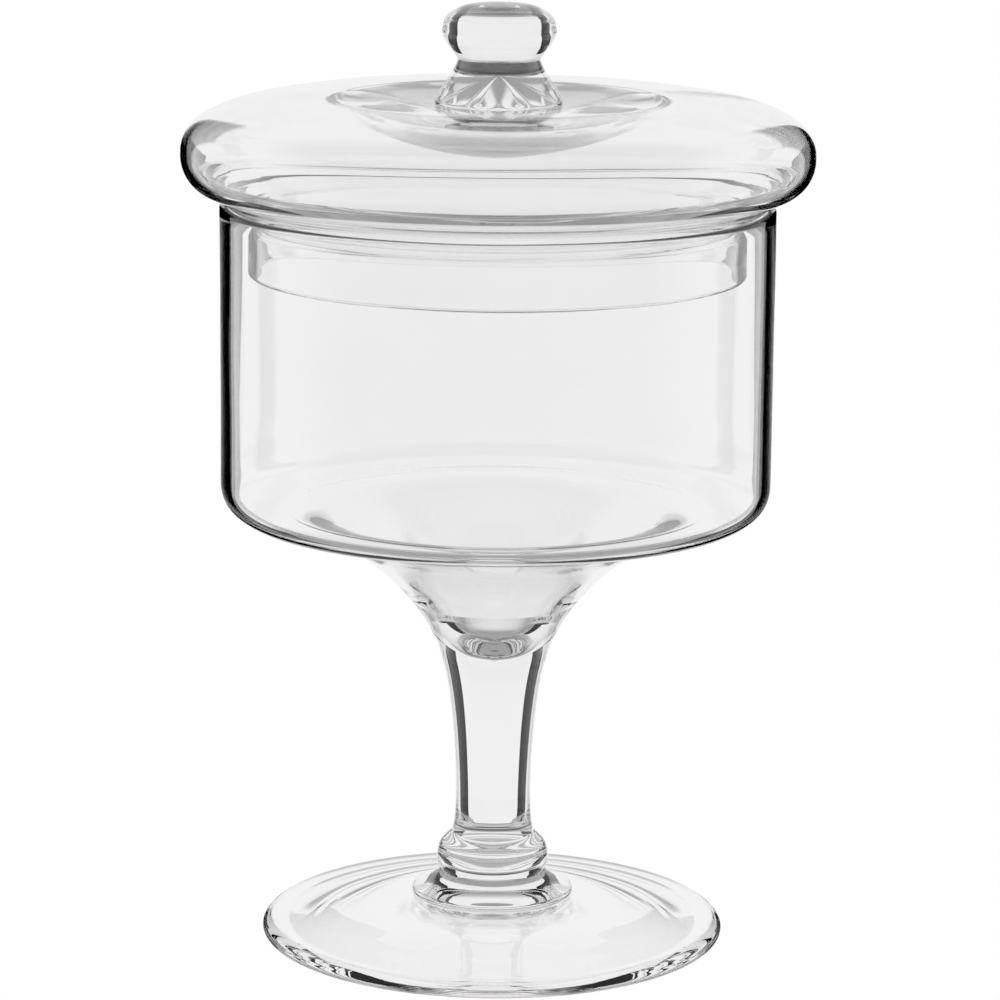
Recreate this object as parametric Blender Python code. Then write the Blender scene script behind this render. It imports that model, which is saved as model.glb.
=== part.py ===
"""Footed apothecary jar in clear glass, with a lift-off lid.

Every piece is turned about the Z axis, so its outline is a list of (radius, height) points.
Metres, +Z up, the foot rests on Z = 0 and the axis of the jar is X = Y = 0.
"""

import math

import bmesh
import bpy

# Driving dimensions
SEGMENTS = 40                  # sides of each turned piece
GLASS_GAP = 0.0003             # clearance where two gathers of glass meet
WALL = 0.0025                  # blown wall of the bowl

FOOT_RADIUS = 0.0619
FOOT_EDGE_HEIGHT = 0.0025      # height of the widest point of the foot's edge
FOOT_SHOULDER = (0.0573, 0.0052)
REST_RING = (0.0545, 0.0585)   # inner and outer radius of the flat ring the jar stands on
FOOT_HOLLOW = 0.0082           # rise of the hollow under the foot

COLLAR_RADIUS = 0.0216
COLLAR_BOTTOM = 0.0112
COLLAR_EDGE = 0.0010           # radius of the collar's rounded edge
COLLAR_TOP = (0.0141, 0.0178)

KNOP_BOTTOM_RADIUS = 0.0139
KNOP_RADIUS = 0.0150
KNOP_MIDDLE = 0.0207
KNOP_TOP = (0.0110, 0.0283)

STEM_WAIST = (0.0100, 0.0408)
STEM_TOP = (0.0219, 0.0918)

BOWL_RADIUS = 0.0729
BOWL_RIM = 0.1983
BOWL_UNDERSIDE = (0.0560, 0.1146)
BOWL_CORNER = 0.1258           # height where the straight wall meets the rounded corner
DIP_TIP = 0.0778               # lowest point of the pointed hollow below the floor

LID_RADIUS = 0.0830
LID_WIDEST = 0.2114
LID_CREST = (0.0470, 0.2262)
LID_SEAT = 0.2250              # flat top under the knob
LID_WALL = 0.0016              # blown wall of the dome and the brim
GATHER_RADIUS = 0.0440         # thick gather of glass under the middle of the lid
GATHER_DEPTH = 0.0100
BRIM_POWER = 0.81              # fullness of the rolled brim
BRIM_LOW = (0.0735, 0.2015)    # lowest part of the brim, outside the bowl's rim
FLANGE_RADIUS = 0.0654
FLANGE_BOTTOM = 0.1802
FLANGE_TOP = 0.1940
FLANGE_WALL = 0.0022
FLANGE_FILLET = 0.0006         # how far the flange spreads where it meets the lid

SKIRT_RADIUS = 0.0168
NECK = (0.0107, 0.2363)
FLUTES = 10                    # grooves of the star under the knob
STAR_RADIUS = 0.0150
STAR_RISE = 0.0052
FLUTE_SHARE = 0.22             # depth of a groove as a share of the star's rise
KNOB_RADIUS = 0.0149
TOTAL_HEIGHT = 0.2510


def clear_scene():
    for item in list(bpy.data.objects):
        bpy.data.objects.remove(item)


def arc(centre, radius, start, end, steps):
    """Points of a round arc from one angle to another, in degrees from +radius towards +height."""
    points = []
    for step in range(steps + 1):
        angle = math.radians(start + (end - start) * step / steps)
        r = centre[0] + radius * math.cos(angle)
        z = centre[1] + radius * math.sin(angle)
        points.append((r, z))
    return points


def rounded(start, end, power, steps, upright_first=True):
    """A quarter of a superellipse from start to end: upright at start, or level there."""
    points = []
    for step in range(steps + 1):
        angle = math.pi / 2 * step / steps
        slow = 1 - math.cos(angle) ** power if step < steps else 1.0
        fast = math.sin(angle) ** power
        along_r, along_z = (slow, fast) if upright_first else (fast, slow)
        r = start[0] + (end[0] - start[0]) * along_r
        z = start[1] + (end[1] - start[1]) * along_z
        points.append((r, z))
    return points


def curve(knots, steps):
    """A Catmull-Rom curve through the knots, with that many steps between two of them."""
    first = tuple(2 * a - b for a, b in zip(knots[0], knots[1]))
    last = tuple(2 * a - b for a, b in zip(knots[-1], knots[-2]))
    padded = [first, *knots, last]
    points = [knots[0]]
    for p0, p1, p2, p3 in zip(padded, padded[1:], padded[2:], padded[3:]):
        for step in range(1, steps + 1):
            t = step / steps
            point = tuple(
                0.5 * (2 * b + (c - a) * t + (2 * a - 5 * b + 4 * c - d) * t**2 + (3 * b - a - 3 * c + d) * t**3)
                for a, b, c, d in zip(p0, p1, p2, p3)
            )
            points.append(point)
    return points


def offset(points, distance):
    """The points moved to the left of their direction of travel. One on the axis stays on it."""
    moved = []
    for index, (r, z) in enumerate(points):
        before = points[max(index - 1, 0)]
        after = points[min(index + 1, len(points) - 1)]
        dr = after[0] - before[0]
        dz = after[1] - before[1] if r > 0 else 0.0
        length = math.hypot(dr, dz)
        moved.append((r - dz / length * distance, z + dr / length * distance))
    return moved


def glass(name):
    material = bpy.data.materials.new(name)
    material.use_nodes = True
    shader = material.node_tree.nodes["Principled BSDF"]
    shader.inputs["Base Color"].default_value = (0.95, 0.965, 0.965, 1.0)
    shader.inputs["Metallic"].default_value = 0.0
    shader.inputs["Roughness"].default_value = 0.02
    shader.inputs["IOR"].default_value = 1.5
    shader.inputs["Transmission Weight"].default_value = 1.0
    return material


def turned(name, outline, ring=False, shape=None):
    """One solid turned about the Z axis. A ring's outline is a closed loop that stays off the axis."""
    mesh = bpy.data.meshes.new(name)
    solid = bmesh.new()
    points = [solid.verts.new((r, 0.0, z)) for r, z in outline]
    following = points[1:] + points[:1] if ring else points[1:]
    edges = [solid.edges.new(pair) for pair in zip(points, following)]
    bmesh.ops.spin(
        solid,
        geom=points + edges,
        cent=(0.0, 0.0, 0.0),
        axis=(0.0, 0.0, 1.0),
        dvec=(0.0, 0.0, 0.0),
        angle=2 * math.pi,
        steps=SEGMENTS,
        use_merge=True,
    )
    bmesh.ops.remove_doubles(solid, verts=solid.verts, dist=0.000005)
    if shape:
        for vertex in solid.verts:
            vertex.co.z += shape(vertex.co)
    bmesh.ops.recalc_face_normals(solid, faces=solid.faces)
    solid.to_mesh(mesh)
    solid.free()
    mesh.shade_smooth()
    mesh.set_sharp_from_angle(angle=math.radians(40))
    mesh.materials.append(glass(name + "_glass"))
    piece = bpy.data.objects.new(name, mesh)
    bpy.context.scene.collection.objects.link(piece)
    return piece


def foot():
    """A low cone with a rounded edge, hollow underneath, on a flat resting ring."""
    seat = COLLAR_BOTTOM - GLASS_GAP
    cone = curve([(COLLAR_RADIUS - COLLAR_EDGE, seat), (0.0300, 0.0096), (0.0420, 0.0078), FOOT_SHOULDER], 2)
    upper_edge = rounded((FOOT_RADIUS, FOOT_EDGE_HEIGHT), FOOT_SHOULDER, 1.0, 4)[::-1]
    lower_edge = rounded((FOOT_RADIUS, FOOT_EDGE_HEIGHT), (REST_RING[1], 0.0), 1.0, 4)
    hollow = [
        (REST_RING[0], 0.0),
        (0.0500, 0.0014),
        (0.0420, 0.0038),
        (0.0300, 0.0063),
        (0.0150, 0.0078),
        (0.0, FOOT_HOLLOW),
    ]
    return turned("foot", [(0.0, seat)] + cone + upper_edge[1:] + lower_edge[1:] + hollow)


def foot_collar():
    """The wafer of glass between the foot and the knop."""
    edge_centre = (COLLAR_RADIUS - COLLAR_EDGE, COLLAR_BOTTOM + COLLAR_EDGE)
    edge = arc(edge_centre, COLLAR_EDGE, -90, 70, 5)
    fillet = curve([edge[-1], (0.0180, 0.0144), (0.0154, 0.0160), COLLAR_TOP], 2)
    return turned("foot_collar", [(0.0, COLLAR_BOTTOM)] + edge + fillet[1:] + [(0.0, COLLAR_TOP[1])])


def stem_knop():
    """The flattened ball between the collar and the stem."""
    bottom = COLLAR_TOP[1] + GLASS_GAP
    side = curve(
        [
            (KNOP_BOTTOM_RADIUS, bottom),
            (KNOP_RADIUS, KNOP_MIDDLE),
            (0.0142, 0.0248),
            KNOP_TOP,
        ],
        3,
    )
    return turned("stem_knop", [(0.0, bottom)] + side + [(0.0, KNOP_TOP[1])])


def dip():
    """Inner side of the pointed hollow below the bowl's floor, from its tip up to the floor."""
    side = [(0.0055, 0.0796), (0.0100, 0.0839), (0.0154, 0.0903), (0.0215, 0.0974), (0.0281, 0.1040)]
    floor = [(0.0356, 0.1095), (0.0445, 0.1144), (BOWL_UNDERSIDE[0], BOWL_UNDERSIDE[1] + WALL)]
    return curve([(0.0, DIP_TIP)] + side + floor, 2)


def dip_skin(thickness, height):
    """The dip's surface moved outwards through the glass, from its tip up to that height."""
    skin = []
    for point in offset(dip(), -thickness):
        if point[1] >= height:
            share = (height - skin[-1][1]) / (point[1] - skin[-1][1])
            return skin + [(skin[-1][0] + share * (point[0] - skin[-1][0]), height)]
        skin.append(point)
    return skin


def stem():
    """Solid stem that flares into a cup round the dip of the bowl."""
    bottom = KNOP_TOP[1] + GLASS_GAP
    top = STEM_TOP[1] - GLASS_GAP
    side = [
        (0.0109, bottom),
        (0.0102, 0.0328),
        STEM_WAIST,
        (0.0104, 0.0508),
        (0.0112, 0.0608),
        (0.0126, 0.0708),
        (0.0147, 0.0788),
        (0.0179, 0.0858),
        (STEM_TOP[0] - GLASS_GAP, top),
    ]
    socket = dip_skin(WALL + GLASS_GAP, top)
    return turned("stem", [(0.0, bottom)] + side + socket[::-1])


def bowl():
    """Blown cylinder with a rounded foot, whose floor runs down into the pointed dip."""
    lip = WALL / 2
    rim = arc((BOWL_RADIUS - lip, BOWL_RIM - lip), lip, 180, 0, 6)
    corner = rounded((BOWL_RADIUS, BOWL_CORNER), BOWL_UNDERSIDE, 0.72, 7)
    neck = [(0.0303, 0.1008), (0.0262, 0.0968), STEM_TOP]
    trumpet = curve([BOWL_UNDERSIDE, (0.0490, 0.1129), (0.0423, 0.1094), (0.0354, 0.1048)] + neck, 2)
    skin = dip_skin(WALL, STEM_TOP[1])[::-1]
    inside = dip() + offset(corner, -WALL)[:-1][::-1]
    outside = rim + corner + trumpet[1:] + skin
    return turned("bowl", inside + outside)


def lid_shell():
    """Blown dome with a rolled, hollow brim, open downwards at its neck."""
    crown = [(SKIRT_RADIUS, LID_SEAT), (0.0260, 0.2255), (0.0360, 0.2260)]
    roll_top = rounded((LID_RADIUS, LID_WIDEST), LID_CREST, BRIM_POWER, 8)[::-1]
    roll_low = rounded((LID_RADIUS, LID_WIDEST), BRIM_LOW, 0.96, 5)[1:]
    throat = [(0.0710, 0.1987), (0.0682, 0.1966), (FLANGE_RADIUS + FLANGE_FILLET, FLANGE_TOP)]
    dome = crown + roll_top + roll_low
    inner_neck = [(FLANGE_RADIUS - FLANGE_WALL, FLANGE_TOP), (0.0639, 0.1968)]
    inner_throat = inner_neck + [(0.0672, 0.1998), (0.0720, 0.2032), (0.0766, 0.2066)]
    inner_brim = [p for p in offset(dome, -LID_WALL)[::-1] if p[0] > GATHER_RADIUS]
    while inner_brim[0][1] < 0.2090:
        inner_brim.pop(0)
    gather = []
    for step in range(9):
        share = 1 - step / 8
        bulge = GATHER_DEPTH * (1 - share**1.5) ** 0.8
        gather.append((GATHER_RADIUS * share, LID_CREST[1] - LID_WALL - bulge))
    return turned("lid_shell", [(0.0, LID_SEAT)] + dome + throat + inner_throat + inner_brim + gather)


def lid_flange():
    """The cut neck that hangs inside the bowl and keeps the lid in place."""
    top = FLANGE_TOP - GLASS_GAP
    lip = FLANGE_WALL / 2
    edge = arc((FLANGE_RADIUS - lip, FLANGE_BOTTOM + lip), lip, 0, -180, 4)
    outline = [(FLANGE_RADIUS + FLANGE_FILLET, top), (FLANGE_RADIUS, top - 0.0030)] + edge
    return turned("lid_flange", outline + [(FLANGE_RADIUS - FLANGE_WALL, top)], ring=True)


def star(co):
    """How far a point under the skirt rises into the fluted, conical hollow."""
    radius = math.hypot(co.x, co.y)
    if radius > STAR_RADIUS or co.z > LID_SEAT + 2 * GLASS_GAP:
        return 0.0
    share = radius / STAR_RADIUS
    groove = FLUTE_SHARE * share * (1 - share) * 4 * math.cos(FLUTES * math.atan2(co.y, co.x))
    return STAR_RISE * (1 - share + groove)


def knob_base():
    """The flared skirt between the lid and the knob, with a star of flutes underneath."""
    bottom = LID_SEAT + GLASS_GAP
    under = [(STAR_RADIUS * step / 5, bottom) for step in range(6)]
    side = curve([(SKIRT_RADIUS, bottom + 0.0005), (0.0153, 0.2283), (0.0120, 0.2333), NECK], 3)
    return turned("knob_base", under + side + [(0.0, NECK[1])], shape=star)


def knob():
    """The flattened ball that the lid is lifted by."""
    bottom = NECK[1] + GLASS_GAP
    side = curve(
        [
            (0.0108, bottom),
            (0.0128, 0.2393),
            (0.0142, 0.2411),
            (KNOB_RADIUS, 0.2438),
            (0.0139, 0.2473),
            (0.0112, 0.2493),
            (0.0072, 0.2505),
            (0.0, TOTAL_HEIGHT),
        ],
        2,
    )
    return turned("knob", [(0.0, bottom)] + side)


def main():
    clear_scene()
    foot()
    foot_collar()
    stem_knop()
    stem()
    bowl()
    lid_shell()
    lid_flange()
    knob_base()
    knob()


main()
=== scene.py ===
"""Looks of the footed apothecary jar: clear blown glass in bright studio light.

Every piece is turned about the Z axis from an outline of (radius, height) points, in metres.
An outline is a list of runs. A run is real glass surface, or a seam where two gathers are fused.
Seams are closed with an invisible skin, so light runs on from one gather into the next.
"""

import math

import bpy
from mathutils import Matrix, Vector, noise


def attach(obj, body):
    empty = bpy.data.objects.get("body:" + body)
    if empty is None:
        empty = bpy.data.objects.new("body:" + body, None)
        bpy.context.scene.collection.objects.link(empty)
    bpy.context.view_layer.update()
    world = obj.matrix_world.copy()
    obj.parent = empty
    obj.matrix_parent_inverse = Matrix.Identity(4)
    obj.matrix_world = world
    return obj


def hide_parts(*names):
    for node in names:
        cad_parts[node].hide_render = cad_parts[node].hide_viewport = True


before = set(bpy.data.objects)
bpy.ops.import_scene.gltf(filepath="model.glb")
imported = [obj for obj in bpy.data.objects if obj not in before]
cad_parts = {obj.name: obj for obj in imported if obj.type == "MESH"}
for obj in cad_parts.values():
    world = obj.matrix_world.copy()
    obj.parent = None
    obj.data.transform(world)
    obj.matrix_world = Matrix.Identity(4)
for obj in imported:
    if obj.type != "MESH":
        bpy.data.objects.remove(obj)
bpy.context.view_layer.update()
noise.seed_set(5)  # the unevenness of the glass is the same in every run

SIDES = 224            # sides of each turned piece
FINE = 8               # steps between two knots of a curve
EDGE_STEPS = 14        # steps round a small rounded edge
LONGEST = 0.002        # longest step along a surface that is uneven
CREASE = 32            # degrees from which an edge stays crisp
BODY, SEAM = 0, 1      # material slots of a run

# Seams between two gathers, as (radius, height)
COLLAR_SEAM = (0.0206, 0.0112)
KNOP_SEAM = (0.0139, 0.0178)
STEM_SEAM = (0.01095, 0.0283)
BOWL_SEAM = (0.0219, 0.0918)
FLANGE_SEAM = ((0.0632, 0.1940), (0.0660, 0.1940))
KNOB_SEAM = (0.01075, 0.2363)

WALL = 0.0025          # blown wall of the bowl
BOWL_RADIUS = 0.0729
BOWL_RIM = 0.1983
LID_WALL = 0.0016      # blown wall of the dome and the brim
LID_SEAT = 0.2250      # flat top under the knob
CREST = (0.0470, 0.2262)
GATHER_RADIUS = 0.0440
GATHER_TOP = 0.2261
GATHER_DEPTH = 0.0100
# painted shade: the grey that the glass colour turns to under the lid's gather
GATHER_PAINTED_SHADE = (0.20, 0.20, 0.20)
NECK_RADIUS = 0.0654
NECK_WALL = 0.0022
NECK_BOTTOM = 0.1802
SKIRT_RADIUS = 0.0168
STAR_RADIUS = 0.0150
STAR_RISE = 0.0052
FLUTES = 10
FLUTE_DEPTH = 0.0012

GLASS_IOR = 1.5
CLEAR = (0.995, 0.995, 0.995)
CORD_TINT = 0.010      # how much darker the cords of the melt are

TABLE_HALF = 6.0
WORLD_LEVEL = 0.90     # brightness of the surround that the glass sees
CAMERA_EYE = (0.0012, -1.17057, 0.36461)
CAMERA_TARGET = (0.0012, 0.0, 0.11904)
CAMERA_LENS = 162.2
CAMERA_ROLL = 0.5      # degrees
LIGHT_BOUNCES = 32     # a ray crosses many surfaces of glass


# ---------------------------------------------------------------- outlines


def arc(centre, radius, start, end, steps):
    angles = [math.radians(start + (end - start) * s / steps) for s in range(steps + 1)]
    return [(centre[0] + radius * math.cos(a), centre[1] + radius * math.sin(a)) for a in angles]


def rounded(start, end, power, steps=30):
    """A quarter of a superellipse, upright at start and level at end."""
    points = []
    for step in range(steps + 1):
        angle = math.pi / 2 * step / steps
        across = 1 - math.cos(angle) ** power if step < steps else 1.0
        up = math.sin(angle) ** power
        points.append((start[0] + (end[0] - start[0]) * across, start[1] + (end[1] - start[1]) * up))
    return points


def curve(knots, steps=FINE):
    """A Catmull-Rom curve through the knots."""
    first = tuple(2 * a - b for a, b in zip(knots[0], knots[1]))
    last = tuple(2 * a - b for a, b in zip(knots[-1], knots[-2]))
    padded = [first, *knots, last]
    points = [knots[0]]
    for p0, p1, p2, p3 in zip(padded, padded[1:], padded[2:], padded[3:]):
        for step in range(1, steps + 1):
            t = step / steps
            point = []
            for a, b, c, d in zip(p0, p1, p2, p3):
                square, cube = 2 * a - 5 * b + 4 * c - d, 3 * b - a - 3 * c + d
                point.append(0.5 * (2 * b + (c - a) * t + square * t**2 + cube * t**3))
            points.append(tuple(point))
    return points


def offset(points, distance):
    """The points moved to the left of their direction of travel. One on the axis stays on it."""
    moved = []
    for index, (r, z) in enumerate(points):
        before = points[max(index - 1, 0)]
        after = points[min(index + 1, len(points) - 1)]
        dr = after[0] - before[0]
        dz = after[1] - before[1] if r > 0 else 0.0
        length = math.hypot(dr, dz)
        moved.append((r - dz / length * distance, z + dr / length * distance))
    return moved


def divided(points, longest):
    """The same line with no step longer than that."""
    result = [points[0]]
    for a, b in zip(points, points[1:]):
        parts = max(1, math.ceil(math.dist(a, b) / longest))
        result += [tuple(p + (q - p) * k / parts for p, q in zip(a, b)) for k in range(1, parts + 1)]
    return result


def cut_at(points, height):
    """The points up to that height, with the last one on it."""
    kept = []
    for point in points:
        if point[1] >= height:
            share = (height - kept[-1][1]) / (point[1] - kept[-1][1])
            return kept + [(kept[-1][0] + share * (point[0] - kept[-1][0]), height)]
        kept.append(point)
    return kept


# ---------------------------------------------------------------- pieces


def turned(name, runs, shape=None, ring=False):
    """One closed mesh turned about the Z axis.

    Each run is (points, slot) and starts where the last one ends. A ring's last point is its first again.
    """
    outline, slots = [runs[0][0][0]], []
    for points, slot in runs:
        outline += points[1:]
        slots += [slot] * (len(points) - 1)
    if ring:
        outline.pop()
    turns = [2 * math.pi * side / SIDES for side in range(SIDES)]
    verts, rows = [], []
    for r, z in outline:
        if r < 1e-6:
            rows.append([len(verts)] * SIDES)
            verts.append((0.0, 0.0, z))
        else:
            rows.append(list(range(len(verts), len(verts) + SIDES)))
            verts += [(r * math.cos(a), r * math.sin(a), z) for a in turns]
    if ring:
        rows.append(rows[0])
    if shape:
        verts = [tuple(shape(Vector(v))) for v in verts]
    faces, face_slots = [], []
    for low, high, slot in zip(rows, rows[1:], slots):
        for side in range(SIDES):
            after = (side + 1) % SIDES
            face = [low[side], low[after], high[after], high[side]]
            face = [v for k, v in enumerate(face) if v not in face[:k]]
            if len(face) > 2:
                faces.append(face)
                face_slots.append(slot)
    mesh = bpy.data.meshes.new(name)
    mesh.from_pydata(verts, [], faces)
    mesh.polygons.foreach_set("material_index", face_slots)
    mesh.validate()
    mesh.update()
    if volume(mesh) < 0:
        mesh.flip_normals()
    mesh.shade_smooth()
    mesh.set_sharp_from_angle(angle=math.radians(CREASE))
    piece = bpy.data.objects.new(name, mesh)
    bpy.context.scene.collection.objects.link(piece)
    return piece


def volume(mesh):
    """Six times the volume inside the faces, below zero when they face inwards."""
    mesh.calc_loop_triangles()
    total = 0.0
    for triangle in mesh.loop_triangles:
        a, b, c = (mesh.vertices[index].co for index in triangle.vertices)
        total += a.cross(b).dot(c)
    return total


def foot():
    """A low cone with a rounded edge and a shallow hollow underneath."""
    shoulder, edge = (0.0573, 0.0052), (0.0619, 0.0025)
    cone = curve([COLLAR_SEAM, (0.0300, 0.0096), (0.0420, 0.0078), shoulder])
    upper = rounded(edge, shoulder, 1.0, EDGE_STEPS)[::-1]
    lower = rounded(edge, (0.0585, 0.0), 1.0, EDGE_STEPS)
    ring = [(0.0560, 0.0), (0.0540, 0.0003), (0.0500, 0.0014)]
    hollow = curve(ring + [(0.0420, 0.0038), (0.0300, 0.0063), (0.0150, 0.0078), (0.0, 0.0082)])
    surface = divided(cone + upper[1:] + lower[1:] + hollow, LONGEST)
    runs = [([(0.0, COLLAR_SEAM[1]), COLLAR_SEAM], SEAM), (surface, BODY)]
    return turned("jar_foot", runs, wavy(0.00003, 0.040, 11))


def collar():
    """The wafer between the foot and the knop: a thin rounded edge and a fillet up to the knop."""
    edge_radius = 0.0010
    edge_centre = (COLLAR_SEAM[0], COLLAR_SEAM[1] + edge_radius)
    edge = arc(edge_centre, edge_radius, -90, 70, EDGE_STEPS)
    fillet = curve([edge[-1], (0.0180, 0.0144), (0.0154, 0.0160), KNOP_SEAM])
    return turned("jar_collar", [
        ([(0.0, COLLAR_SEAM[1]), COLLAR_SEAM], SEAM),
        (edge + fillet[1:], BODY),
        ([KNOP_SEAM, (0.0, KNOP_SEAM[1])], SEAM),
    ])


def knop():
    """The flattened ball below the stem."""
    side = curve([KNOP_SEAM, (0.0150, 0.0207), (0.0142, 0.0248), STEM_SEAM])
    return turned("jar_knop", [
        ([(0.0, KNOP_SEAM[1]), KNOP_SEAM], SEAM),
        (side, BODY),
        ([STEM_SEAM, (0.0, STEM_SEAM[1])], SEAM),
    ])


def dip():
    """Inside of the trumpet, from the tip of its pointed hollow up to the bowl's floor."""
    side = [(0.0055, 0.0796), (0.0100, 0.0839), (0.0154, 0.0903), (0.0215, 0.0974), (0.0281, 0.1040)]
    return curve([(0.0, 0.0778)] + side + [(0.0356, 0.1095), (0.0445, 0.1144), (0.0560, 0.1171)])


def dip_skin():
    """The bowl's wall round the dip, on the side where it is fused into the stem's cup."""
    return cut_at(offset(dip(), -WALL), BOWL_SEAM[1])


def stem():
    """Solid, narrowest low down, flaring into the trumpet under the bowl."""
    waist = [(0.0102, 0.0328), (0.0100, 0.0408), (0.0104, 0.0508), (0.0112, 0.0608)]
    flare = [(0.0126, 0.0708), (0.0147, 0.0788), (0.0179, 0.0858)]
    side = curve([STEM_SEAM] + waist + flare + [BOWL_SEAM])
    return turned("jar_stem", [
        ([(0.0, STEM_SEAM[1]), STEM_SEAM], SEAM),
        (side, BODY),
        ([BOWL_SEAM] + dip_skin()[::-1], SEAM),
    ])


def bowl():
    """Blown cylinder with an even wall, from the dip over the rim and down to the seam with the stem."""
    lip = WALL / 2
    rim = arc((BOWL_RADIUS - lip, BOWL_RIM - lip), lip, 180, 0, EDGE_STEPS)
    corner = rounded((BOWL_RADIUS, 0.1258), (0.0560, 0.1146), 0.72)
    under = [(0.0490, 0.1129), (0.0423, 0.1094), (0.0354, 0.1048), (0.0303, 0.1008), (0.0262, 0.0968)]
    trumpet = curve([corner[-1]] + under + [BOWL_SEAM])
    inner_corner = offset(corner, -WALL)[::-1]
    surface = divided(dip() + inner_corner[1:] + rim + corner + trumpet[1:], 0.0025)
    runs = [(surface, BODY), ([BOWL_SEAM] + dip_skin()[::-1], SEAM)]
    return turned("jar_bowl", runs, wavy(0.00012, 0.030, 3))


def lid_shell():
    """Blown dome with a rolled, hollow brim and a thick gather in the middle."""
    widest, low = (0.0830, 0.2114), (0.0735, 0.2015)
    kept = 23  # points of the brim's underside, before it runs on into the throat
    crown = curve([(SKIRT_RADIUS, LID_SEAT), (0.0260, 0.2255), (0.0360, 0.2260), CREST])
    roll_top = rounded(widest, CREST, 0.81)[::-1]
    roll_low = rounded(widest, low, 0.96)[1:]
    dome = crown + roll_top[1:] + roll_low
    bend = [(0.0748, 0.2014), (0.0727, 0.2001), (0.0704, 0.1981), (0.0682, 0.1966)]
    throat = curve([roll_low[kept]] + bend + [FLANGE_SEAM[1]])
    inner_bend = [(0.0639, 0.1968), (0.0672, 0.1998), (0.0720, 0.2032), (0.0766, 0.2066)]
    inner_throat = curve([FLANGE_SEAM[0]] + inner_bend)
    inner_dome = [p for p in offset(dome, -LID_WALL) if p[0] > GATHER_RADIUS][::-1]
    while inner_dome[0][0] < 0.0795 and inner_dome[0][1] < 0.209:
        inner_dome.pop(0)
    return turned("jar_lid", [
        ([(0.0, LID_SEAT), (STAR_RADIUS, LID_SEAT)], BODY),
        ([(STAR_RADIUS, LID_SEAT), (SKIRT_RADIUS, LID_SEAT)], SEAM),
        (divided(crown + roll_top[1:] + roll_low[:kept] + throat, LONGEST), BODY),
        ([FLANGE_SEAM[1], FLANGE_SEAM[0]], SEAM),
        (divided(inner_throat + inner_dome + gather(), LONGEST), BODY),
    ], wavy(0.00025, 0.035, 7))


def gather(steps=20):
    """Underside of the gather, from its edge to the axis."""
    points = []
    for step in range(steps + 1):
        share = 1 - step / steps
        bulge = (1 - share**1.5) ** 0.8
        points.append((GATHER_RADIUS * share, GATHER_TOP - LID_WALL - GATHER_DEPTH * bulge))
    return points


def lid_flange():
    """The cut neck with its rounded lower edge."""
    lip = NECK_WALL / 2
    edge = arc((NECK_RADIUS - lip, NECK_BOTTOM + lip), lip, 0, -180, 12)
    inner, outer = FLANGE_SEAM
    side = curve([outer, (NECK_RADIUS, outer[1] - 0.0030), edge[0]], 4)
    surface = divided(side + edge[1:] + [inner], LONGEST)
    runs = [(surface, BODY), ([inner, outer], SEAM)]
    return turned("jar_lid_neck", runs, wavy(0.00012, 0.025, 5), ring=True)


def star(co):
    """The fluted, conical hollow under the skirt."""
    radius = math.hypot(co.x, co.y)
    if radius < STAR_RADIUS and co.z < LID_SEAT + 1e-5:
        share = radius / STAR_RADIUS
        turn = FLUTES * math.atan2(co.x, -co.y) / (2 * math.pi)
        crease = 4 * abs(turn - math.floor(turn + 0.5)) - 1
        co.z += STAR_RISE * (1 - share) + FLUTE_DEPTH * share * (1 - share**5) * crease
    return co


def knob_base():
    """The flared skirt under the knob."""
    steps = 24
    under = [(STAR_RADIUS * k / steps, LID_SEAT) for k in range(steps + 1)]
    flare = [(0.0165, 0.2262), (0.0153, 0.2283), (0.0120, 0.2333)]
    side = curve([(SKIRT_RADIUS, LID_SEAT)] + flare + [KNOB_SEAM])
    return turned("jar_knob_base", [
        (under, BODY),
        ([under[-1], side[0]], SEAM),
        (side, BODY),
        ([KNOB_SEAM, (0.0, KNOB_SEAM[1])], SEAM),
    ], star)


def knob():
    """The flattened solid ball on top."""
    lower = [(0.0128, 0.2393), (0.0142, 0.2411), (0.0149, 0.2438)]
    upper = [(0.0139, 0.2473), (0.0112, 0.2493), (0.0072, 0.2505), (0.0, 0.2510)]
    side = curve([KNOB_SEAM] + lower + upper)
    return turned("jar_knob", [([(0.0, KNOB_SEAM[1]), KNOB_SEAM], SEAM), (side, BODY)])


def wavy(amount, size, seed):
    """The slow unevenness of blown glass: each point moves a little along a smooth random field."""
    def move(co):
        field = noise.noise_vector(co / size + Vector((seed, 2 * seed, 3 * seed)))
        return co + field * amount
    return move


# ---------------------------------------------------------------- materials


def new_material(name):
    material = bpy.data.materials.new(name)
    material.use_nodes = True
    material.node_tree.nodes.clear()
    return material, material.node_tree.nodes, material.node_tree.links


def seam():
    """The invisible skin over a fused seam."""
    material, nodes, links = new_material("fused_seam")
    clear = nodes.new("ShaderNodeBsdfTransparent")
    out = nodes.new("ShaderNodeOutputMaterial")
    links.new(clear.outputs[0], out.inputs["Surface"])
    return material


def set_range(node, low, high, at_low, at_high):
    for key, number in (("From Min", low), ("From Max", high), ("To Min", at_low), ("To Max", at_high)):
        node.inputs[key].default_value = number


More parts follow.
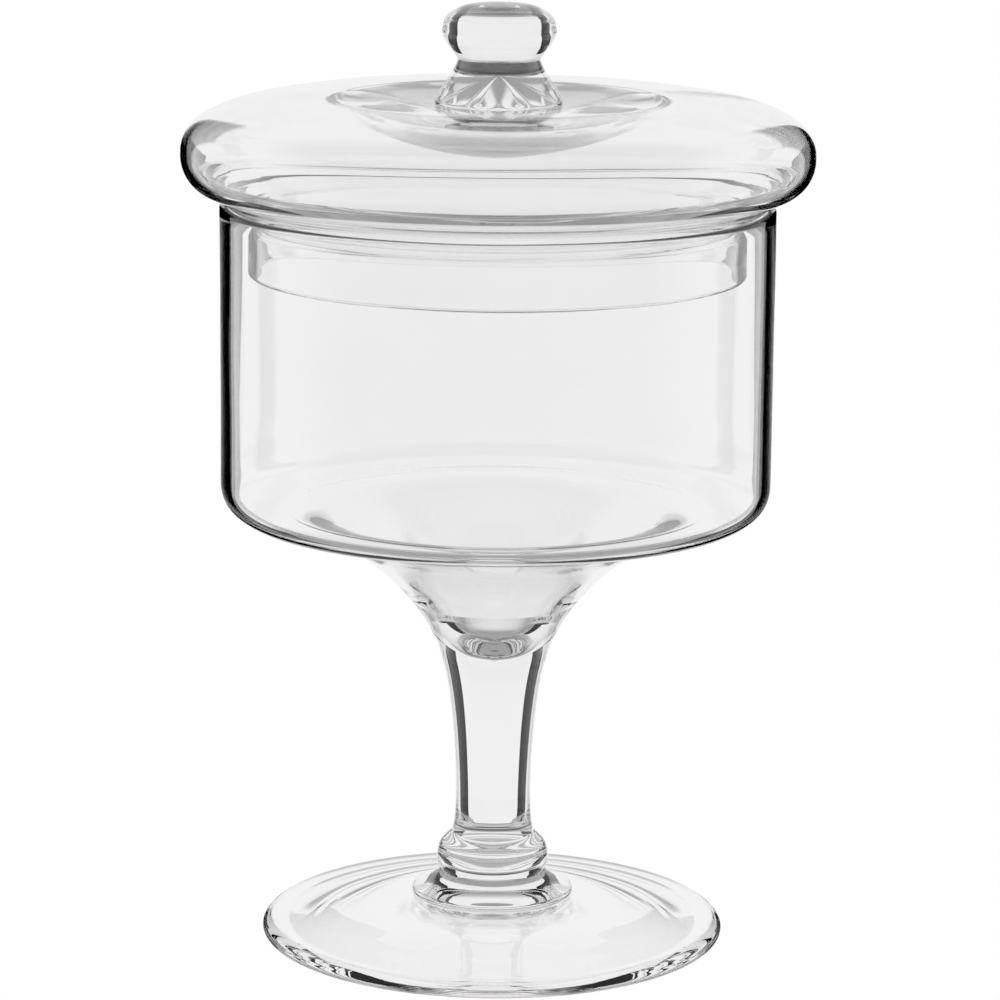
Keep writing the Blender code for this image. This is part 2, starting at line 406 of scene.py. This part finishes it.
def paint_gather_shade(nodes, links, place, colour):
    """Painted shade: turns the glass colour grey under the thick gather in the middle of the lid, far
    darker than the glass is by itself, to stand in for the shade round the knob.
    """
    split = nodes.new("ShaderNodeSeparateXYZ")
    links.new(place.outputs["Object"], split.inputs[0])
    level = nodes.new("ShaderNodeCombineXYZ")
    links.new(split.outputs["X"], level.inputs["X"])
    links.new(split.outputs["Y"], level.inputs["Y"])
    radius = nodes.new("ShaderNodeVectorMath")
    radius.operation = "LENGTH"
    links.new(level.outputs["Vector"], radius.inputs[0])
    share = nodes.new("ShaderNodeMath")
    share.operation = "MULTIPLY"
    radius_fade = (0, radius.outputs["Value"], 0.0400, 0.0435)
    height_fade = (1, split.outputs["Z"], 0.2212, 0.2226)
    for slot, value, low, high in (radius_fade, height_fade):
        fade = nodes.new("ShaderNodeMapRange")
        fade.interpolation_type = "SMOOTHSTEP"
        set_range(fade, low, high, 1.0, 0.0)
        links.new(value, fade.inputs["Value"])
        links.new(fade.outputs["Result"], share.inputs[slot])
    mix = nodes.new("ShaderNodeMixRGB")
    mix.inputs["Color2"].default_value = (*GATHER_PAINTED_SHADE, 1.0)
    links.new(share.outputs[0], mix.inputs["Fac"])
    links.new(colour, mix.inputs["Color1"])
    return mix.outputs["Color"]


def glass(name, stretch, bump, scale, painted_shade=False):
    """Clear glass. The cords of the melt are stretched streaks in its tint and ripples of its surface."""
    material, nodes, links = new_material(name)
    out = nodes.new("ShaderNodeOutputMaterial")
    shader = nodes.new("ShaderNodeBsdfPrincipled")
    shader.inputs["Transmission Weight"].default_value = 1.0
    shader.inputs["IOR"].default_value = GLASS_IOR
    shader.inputs["Roughness"].default_value = 0.0
    place = nodes.new("ShaderNodeTexCoord")
    mapping = nodes.new("ShaderNodeMapping")
    mapping.inputs["Scale"].default_value = stretch
    streaks = nodes.new("ShaderNodeTexNoise")
    streaks.inputs["Scale"].default_value = scale
    streaks.inputs["Detail"].default_value = 2.0
    links.new(place.outputs["Object"], mapping.inputs["Vector"])
    links.new(mapping.outputs["Vector"], streaks.inputs["Vector"])
    ramp = nodes.new("ShaderNodeValToRGB")
    ramp.color_ramp.elements[0].position = 0.35
    ramp.color_ramp.elements[0].color = (*[channel - CORD_TINT for channel in CLEAR], 1.0)
    ramp.color_ramp.elements[1].position = 0.65
    ramp.color_ramp.elements[1].color = (*CLEAR, 1.0)
    links.new(streaks.outputs["Fac"], ramp.inputs["Fac"])
    colour = ramp.outputs["Color"]
    if painted_shade:
        # painted shade: the lid's glass colour turns grey under its gather
        colour = paint_gather_shade(nodes, links, place, colour)
    links.new(colour, shader.inputs["Base Color"])
    ripple = nodes.new("ShaderNodeBump")
    ripple.inputs["Strength"].default_value = 1.0
    ripple.inputs["Distance"].default_value = bump
    links.new(streaks.outputs["Fac"], ripple.inputs["Height"])
    links.new(ripple.outputs["Normal"], shader.inputs["Normal"])
    links.new(shader.outputs[0], out.inputs["Surface"])
    return material


# ---------------------------------------------------------------- the jar

skin = seam()
for build, body, node, slot, stretch, bump, scale in (
    (foot, "base", "foot", "foot_glass", (1, 1, 3), 0.000001, 30),
    (collar, "base", "foot_collar", "collar_glass", (1, 1, 4), 0.000004, 60),
    (knop, "base", "stem_knop", "knop_glass", (1, 1, 3), 0.000005, 70),
    (stem, "base", "stem", "stem_glass", (3, 3, 1), 0.000005, 40),
    (bowl, "base", "bowl", "bowl_glass", (1, 1, 2), 0.00001, 25),
    (lid_shell, "lid", "lid_shell", "lid_glass", (1, 1, 2), 0.000008, 30),
    (lid_flange, "lid", "lid_flange", "flange_glass", (1, 1, 2), 0.00001, 40),
    (knob_base, "lid", "knob_base", "knob_base_glass", (1, 1, 2), 0.000004, 60),
    (knob, "lid", "knob", "knob_glass", (1, 1, 2), 0.000004, 60),
):
    piece = build()
    # the lid's glass gets painted shade under its gather
    piece.data.materials.append(glass("clear_" + node, stretch, bump, scale, painted_shade=build is lid_shell))
    piece.data.materials.append(skin)
    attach(piece, body)
    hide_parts(node)


# ---------------------------------------------------------------- studio


def flat_material(name, level):
    material, nodes, links = new_material(name)
    light = nodes.new("ShaderNodeEmission")
    light.inputs["Color"].default_value = (level, level, level, 1.0)
    light.inputs["Strength"].default_value = level
    out = nodes.new("ShaderNodeOutputMaterial")
    links.new(light.outputs[0], out.inputs["Surface"])
    return material


def card(name, corners, material):
    """A flat card of the studio that throws no shadow."""
    mesh = bpy.data.meshes.new(name)
    mesh.from_pydata(corners, [], [list(range(len(corners)))])
    mesh.materials.append(material)
    obj = bpy.data.objects.new(name, mesh)
    bpy.context.scene.collection.objects.link(obj)
    obj.visible_shadow = False
    return obj


def studio_floor():
    """The white table. The camera sees it; the glass sees the surround instead."""
    corners = [(x * TABLE_HALF, y * TABLE_HALF, 0) for x, y in ((-1, -1), (1, -1), (1, 1), (-1, 1))]
    floor = card("studio_floor", corners, flat_material("white_table", 1.0))
    floor.visible_transmission = False
    floor.visible_glossy = False


def studio_flags():
    """Two black cards behind the jar give the glass its dark edges. The camera doesn't see them."""
    black = flat_material("black_flag", 0.0)
    near_y, far_y, near_x, far_x = 0.182, 0.172, 0.105, 0.215
    bottom, top = -0.11, 0.32
    beside_lid = [(0.120, near_y, top), (0.120, near_y, 0.205)]
    beside_bowl = [(0.100, near_y, 0.185), (0.104, near_y, 0.150), (0.110, near_y, 0.110)]
    beside_stem = [(near_x, near_y, 0.045), (near_x, near_y, bottom)]
    outline = beside_lid + beside_bowl + beside_stem + [(far_x, far_y, bottom), (far_x, far_y, top)]
    for name, side in (("flag_left", -1), ("flag_right", 1)):
        flag = card(name, [(side * x, y, z) for x, y, z in outline], black)
        flag.visible_camera = False
        flag.visible_diffuse = False


def studio_world():
    """White to the camera. To the glass, pale all round, darker above, on the table and in front."""
    world = bpy.data.worlds.new("studio")
    bpy.context.scene.world = world
    world.use_nodes = True
    nodes, links = world.node_tree.nodes, world.node_tree.links
    nodes.clear()

    def calc(operation, *values):
        node = nodes.new("ShaderNodeMath")
        node.operation = operation
        for socket, value in zip(node.inputs, values):
            if isinstance(value, float):
                socket.default_value = value
            else:
                links.new(value, socket)
        return node.outputs[0]

    def ramp(value, low, high, at_low, at_high):
        """Eases from one level to the other while the value, in degrees, passes from low to high."""
        node = nodes.new("ShaderNodeMapRange")
        node.interpolation_type = "SMOOTHSTEP"
        set_range(node, low, high, at_low, at_high)
        links.new(value, node.inputs["Value"])
        return node.outputs["Result"]

    place = nodes.new("ShaderNodeTexCoord")
    split = nodes.new("ShaderNodeSeparateXYZ")
    links.new(place.outputs["Generated"], split.inputs[0])
    x, y, z = split.outputs
    turn = calc("MULTIPLY", calc("ABSOLUTE", calc("ARCTAN2", x, y)), math.degrees(1.0))
    rise = calc("MULTIPLY", calc("ARCSINE", z), math.degrees(1.0))
    top = ramp(rise, 35, 55, 1.0, 0.40)
    table = ramp(rise, -42, -30, 0.40, 1.0)
    near = calc("MULTIPLY", ramp(turn, 75, 120, 0.0, 0.65), ramp(rise, -40, -22, 1.0, 0.45))
    level = calc("MULTIPLY", calc("MULTIPLY", top, table), calc("SUBTRACT", 1.0, near))
    level = calc("MULTIPLY", level, WORLD_LEVEL)
    path = nodes.new("ShaderNodeLightPath")
    seen = path.outputs["Is Camera Ray"]
    level = calc("ADD", calc("MULTIPLY", level, calc("SUBTRACT", 1.0, seen)), seen)
    back = nodes.new("ShaderNodeBackground")
    back.inputs["Color"].default_value = (1.0, 1.0, 1.0, 1.0)
    links.new(level, back.inputs["Strength"])
    out = nodes.new("ShaderNodeOutputWorld")
    links.new(back.outputs[0], out.inputs["Surface"])


def studio_camera():
    data = bpy.data.cameras.new("camera")
    data.lens = CAMERA_LENS
    data.sensor_width = 36.0
    data.clip_start = 0.01
    camera = bpy.data.objects.new("camera", data)
    bpy.context.scene.collection.objects.link(camera)
    eye, target = Vector(CAMERA_EYE), Vector(CAMERA_TARGET)
    aim = (target - eye).to_track_quat("-Z", "Y").to_matrix().to_4x4()
    roll = Matrix.Rotation(math.radians(CAMERA_ROLL), 4, "Z")
    camera.matrix_world = Matrix.Translation(eye) @ aim @ roll
    bpy.context.scene.camera = camera


studio_floor()
studio_flags()
studio_world()
studio_camera()

scene = bpy.context.scene
scene.view_settings.view_transform = "Standard"
scene.cycles.max_bounces = LIGHT_BOUNCES
scene.cycles.transmission_bounces = LIGHT_BOUNCES
scene.cycles.glossy_bounces = LIGHT_BOUNCES // 2
scene.cycles.transparent_max_bounces = LIGHT_BOUNCES
